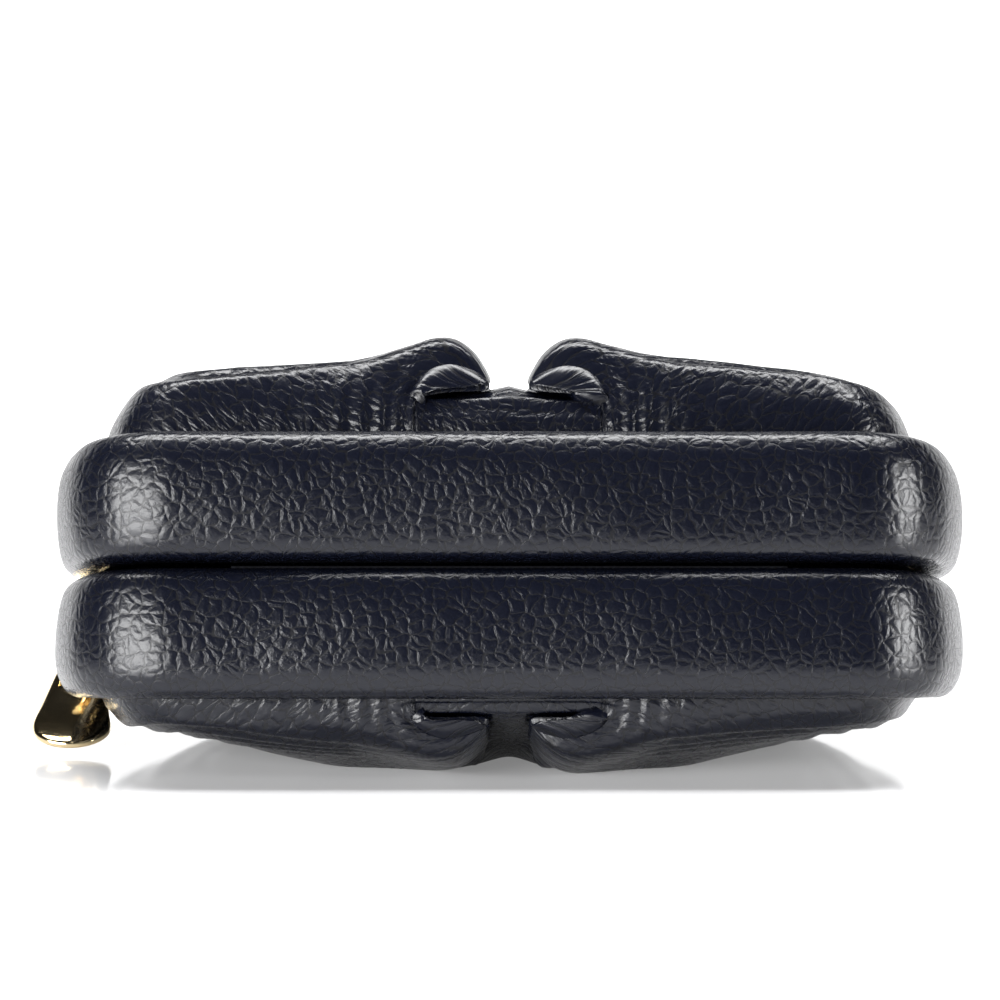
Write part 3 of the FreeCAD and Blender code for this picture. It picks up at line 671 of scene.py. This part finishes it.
def folded_tab(name, node):
    """A small tab of the band's leather, folded over a zip end, its edges pressed round."""
    solid = frame["nodes"][node].data
    corners = np.array([corner.co for corner in solid.vertices], float)
    centre = corners.mean(0)
    local = stand_up(node)
    middle = local.mean(0)
    tilt = math.atan2(middle[1] - arc_height, middle[0])
    thick = np.hypot(local[:, 0], local[:, 1] - arc_height)
    angle = np.arctan2(local[:, 1] - arc_height, local[:, 0])
    width = local[:, 2].max() - local[:, 2].min()
    length = (angle.max() - angle.min()) * thick.mean()
    depth = thick.max() - thick.min()
    shape = bmesh.new()
    bmesh.ops.create_cube(shape, size=1)
    bmesh.ops.scale(shape, vec=(min(depth, 1.3) * 1e-3, length * 1e-3, width * 1e-3), verts=shape.verts)
    bmesh.ops.subdivide_edges(shape, edges=shape.edges, cuts=3, use_grid_fill=True)
    bmesh.ops.smooth_vert(
        shape, verts=shape.verts, factor=0.5, use_axis_x=True, use_axis_y=True, use_axis_z=True
    )
    layout = shape.loops.layers.uv.new("grain")
    crease = shape.loops.layers.uv.new("crease")
    for cell in shape.faces:
        cell.smooth = True
        for loop in cell.loops:
            loop[layout].uv = loop[crease].uv = (loop.vert.co.y + loop.vert.co.x, loop.vert.co.z)
    turn = Matrix.Rotation(tilt, 4, "Z")
    lying = Matrix((across, up_purse, out_of_plane)).transposed().to_4x4()
    bmesh.ops.transform(shape, matrix=Matrix.Translation(Vector(centre)) @ lying @ turn, verts=shape.verts)
    tab = finished(name, shape)
    rounding = tab.modifiers.new("rounding", "SUBSURF")
    rounding.levels = rounding.render_levels = 2
    tab.data.materials.append(band_leather)
    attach(tab, "back_half")
    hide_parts(node)


folded_tab("left_end_tab", "zip_end_tab_left")
folded_tab("right_end_tab", "zip_end_tab_right")

# ---------------------------------------------------------------------------------------------
# Polished pale gold plating over cast zinc, for everything on the zip: bright, with the faint
# unevenness that casting leaves and fine scuffs that make it a little rougher in places.
# ---------------------------------------------------------------------------------------------
def plated(name, colour, roughness, relief):
    material, tree, shader = new_material(name)
    place = add(tree, "ShaderNodeTexCoord")
    ripple = add(tree, "ShaderNodeTexNoise", {"Vector": place.outputs["Object"], "Scale": 260.0, "Detail": 2.0})
    scuffs = add(tree, "ShaderNodeTexNoise", {"Vector": place.outputs["Object"], "Scale": 2600.0, "Detail": 3.0})
    rough = add(
        tree, "ShaderNodeMapRange",
        {
            "Value": scuffs.outputs["Fac"], "From Min": 0.35, "From Max": 0.7,
            "To Min": roughness, "To Max": roughness * 1.8,
        },
    )
    tone = add(tree, "ShaderNodeMix", {"Factor": ripple.outputs["Fac"]}, data_type="RGBA")
    tone.inputs["A"].default_value = colour
    tone.inputs["B"].default_value = tuple(c * 0.86 for c in colour[:3]) + (1,)
    tree.links.new(tone.outputs["Result"], shader.inputs["Base Color"])
    tree.links.new(rough.outputs[0], shader.inputs["Roughness"])
    bump = add(tree, "ShaderNodeBump", {"Strength": 0.5, "Distance": relief, "Height": ripple.outputs["Fac"]})
    tree.links.new(bump.outputs[0], shader.inputs["Normal"])
    shader.inputs["Metallic"].default_value = 1.0
    return material


polished_gold = plated("polished_gold", (0.90, 0.73, 0.44, 1), 0.07, 0.00012)
tooth_gold = plated("tooth_gold", (0.86, 0.68, 0.38, 1), 0.2, 0.00006)


def refinish(node, material):
    """A CAD node shown in that material."""
    mesh = frame["nodes"][node].data
    mesh.materials.clear()
    mesh.materials.append(material)


def retraced(name, node):
    """A new piece of the same shape as a CAD node, its loose triangles merged."""
    shape = bmesh.new()
    shape.from_mesh(frame["nodes"][node].data)
    bmesh.ops.remove_doubles(shape, verts=shape.verts, dist=1e-6)
    return finished(name, shape)


for node in ("slider_body", "slider_bridge", "pull_link"):
    refinish(node, polished_gold)
for node in ("back_zip_teeth", "back_top_stop", "bottom_stop"):
    refinish(node, tooth_gold)
for name, node in (("front_teeth", "front_zip_teeth"), ("front_stop", "front_top_stop")):
    row = retraced(name, node)
    row.data.materials.append(tooth_gold)
    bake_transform(row)
    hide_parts(node)

# ---------------------------------------------------------------------------------------------
# The pull: a cast and polished teardrop, full and rounded, with a long eye at its narrow end that
# leaves a round bar for the link to hang from.
# ---------------------------------------------------------------------------------------------
eye_radius, wide_radius, bar_half, eye_wide, eye_long = 3.1, 5.2, 0.5, 1.9, 7.0
pull_corners = np.array([corner.co for corner in frame["nodes"]["zip_pull"].data.vertices], float) * 1000
bar_point = np.array(joints["pull_swing"]["pos_m"]) * 1000
far_end = pull_corners[pull_corners[:, 1] < pull_corners[:, 1].min() + 0.6].mean(0) - bar_point
far_end[0] = 0
down_pull = far_end / np.linalg.norm(far_end)
over_pull = np.cross(down_pull, (1.0, 0, 0))
over_pull *= np.sign(over_pull[2])
pull_length = ((pull_corners - bar_point) @ down_pull).max() + bar_half
pull_thick = 1.7
outline_cells, section_cells = 144, 48
fullness = 0.62


def round_ended(near, near_radius, far, far_radius, count):
    """Points evenly round the outline of two circles and the lines between them, from the near tip."""
    tangent = math.acos((near_radius - far_radius) / (far - near))
    turn = np.linspace(math.pi, -math.pi, 721)
    at_near = np.abs(turn) > tangent
    x = np.where(at_near, near, far) + np.where(at_near, near_radius, far_radius) * np.cos(turn)
    y = np.where(at_near, near_radius, far_radius) * np.sin(turn)
    run = np.concatenate([[0], np.cumsum(np.hypot(np.diff(x), np.diff(y)))])
    even = np.linspace(0, run[-1], count)
    return np.stack([np.interp(even, run, x), np.interp(even, run, y)], -1)


outer = round_ended(
    eye_radius - bar_half, eye_radius, pull_length - bar_half - wide_radius, wide_radius, outline_cells + 1
)
inner = round_ended(
    bar_half + eye_wide, eye_wide, bar_half + eye_long - eye_wide, eye_wide + 0.001, outline_cells + 1
)
turn = np.linspace(0, 2 * math.pi, section_cells + 1)
out_share = 0.5 + 0.5 * np.sign(np.cos(turn)) * np.abs(np.cos(turn)) ** fullness
height = pull_thick / 2 * np.sign(np.sin(turn)) * np.abs(np.sin(turn)) ** fullness
plan = inner[None] + (outer - inner)[None] * out_share[:, None, None]
crown = 0.45 * np.exp(-(((plan[..., 0] - 17.0) / 5.5) ** 2 + (plan[..., 1] / 4.6) ** 2)) * (height > 0)[:, None]
lift = height[:, None] + crown
shape_points = (
    bar_point + plan[..., :1] * down_pull + plan[..., 1:2] * np.array([1.0, 0, 0]) + lift[..., None] * over_pull
)
shape = bmesh.new()
bmesh.ops.create_grid(shape, x_segments=outline_cells, y_segments=section_cells, size=1)
for corner in shape.verts:
    row, column = round((corner.co.y + 1) * section_cells / 2), round((corner.co.x + 1) * outline_cells / 2)
    corner.co = shape_points[row, column] * 0.001
bmesh.ops.remove_doubles(shape, verts=shape.verts, dist=1e-6)
bmesh.ops.recalc_face_normals(shape, faces=shape.faces)
for cell in shape.faces:
    cell.smooth = True
pull = finished("teardrop_pull", shape)
pull.data.materials.append(polished_gold)
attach(pull, "pull")
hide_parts("zip_pull")

# ---------------------------------------------------------------------------------------------
# The floor, the lights and the camera.
# ---------------------------------------------------------------------------------------------
shape = bmesh.new()
bmesh.ops.create_grid(shape, x_segments=1, y_segments=1, size=4)
floor = finished("floor", shape)
floor_material, tree, shader = new_material("pale_floor")
shader.inputs["Base Color"].default_value = (0.82, 0.82, 0.83, 1)
shader.inputs["Roughness"].default_value = 0.09
# Painted light: the floor glows, faintest near the purse and full white far from it, for the camera only; other rays
# see a weak glow.
place = add(tree, "ShaderNodeTexCoord")
from_purse = add(tree, "ShaderNodeVectorMath", {0: place.outputs["Object"]}, operation="LENGTH")
glow = add(
    tree, "ShaderNodeMapRange",
    {"Value": from_purse.outputs["Value"], "From Min": 0.09, "From Max": 0.6, "To Min": 0.20, "To Max": 1.0},
)
seen = add(tree, "ShaderNodeLightPath")
lit = add(tree, "ShaderNodeMapRange", {"Value": seen.outputs["Is Camera Ray"], "To Min": 0.07})
tree.links.new(glow.outputs[0], lit.inputs["To Max"])
tree.links.new(lit.outputs[0], shader.inputs["Emission Strength"])
shader.inputs["Emission Color"].default_value = (1, 1, 1, 1)
floor.data.materials.append(floor_material)

shape = bmesh.new()
bmesh.ops.create_grid(shape, x_segments=1, y_segments=1, size=1)
bmesh.ops.scale(shape, vec=(2.2, 0.6, 1), verts=shape.verts)
bmesh.ops.rotate(shape, cent=(0, 0, 0), matrix=Matrix.Rotation(math.pi / 2, 3, "X"), verts=shape.verts)
bmesh.ops.translate(shape, vec=(0, 1.6, 0.5), verts=shape.verts)
backdrop = finished("backdrop", shape)
backdrop_material, tree, shader = new_material("white_backdrop")
shader.inputs["Base Color"].default_value = (0.9, 0.9, 0.9, 1)
shader.inputs["Emission Color"].default_value = (1, 1, 1, 1)
shader.inputs["Emission Strength"].default_value = 1.05
backdrop.data.materials.append(backdrop_material)

world = bpy.data.worlds.new("studio")
world.use_nodes = True
tree = world.node_tree
seen = add(tree, "ShaderNodeLightPath")
strength = add(tree, "ShaderNodeMapRange", {"Value": seen.outputs["Is Camera Ray"], "To Min": 0.015, "To Max": 1.05})
background = tree.nodes["Background"]
background.inputs["Color"].default_value = (1, 1, 1, 1)
tree.links.new(strength.outputs[0], background.inputs["Strength"])
bpy.context.scene.world = world
bpy.context.scene.view_settings.view_transform = "Standard"


def softbox(name, place, aim, width, height, power):
    light = bpy.data.lights.new(name, "AREA")
    light.shape = "RECTANGLE"
    light.size, light.size_y, light.energy = width, height, power
    lamp = bpy.data.objects.new(name, light)
    lamp.location = place
    lamp.rotation_euler = (Vector(aim) - Vector(place)).to_track_quat("-Z", "Y").to_euler()
    bpy.context.scene.collection.objects.link(lamp)


softbox("overhead", (0.0, 0.06, 0.62), (0, 0.0, 0.03), 0.8, 0.20, 9)
softbox("left_front", (-0.50, -0.56, 0.13), (-0.02, 0, 0.03), 0.66, 0.24, 9)
softbox("right_front", (0.66, -0.28, 0.14), (0.02, 0, 0.03), 0.26, 0.26, 4)

aim = Vector((-0.00117, bottom_edge.y, 0.0364))
distance, elevation = 0.65, math.radians(5)
camera = bpy.data.objects.new("camera", bpy.data.cameras.new("camera"))
camera.data.lens = 185.5
camera.data.sensor_width = 36
camera.data.clip_start = 0.01
camera.location = aim + Vector((0, -math.cos(elevation), math.sin(elevation))) * distance
camera.rotation_euler = (aim - camera.location).to_track_quat("-Z", "Y").to_euler()
bpy.context.scene.collection.objects.link(camera)
bpy.context.scene.camera = camera
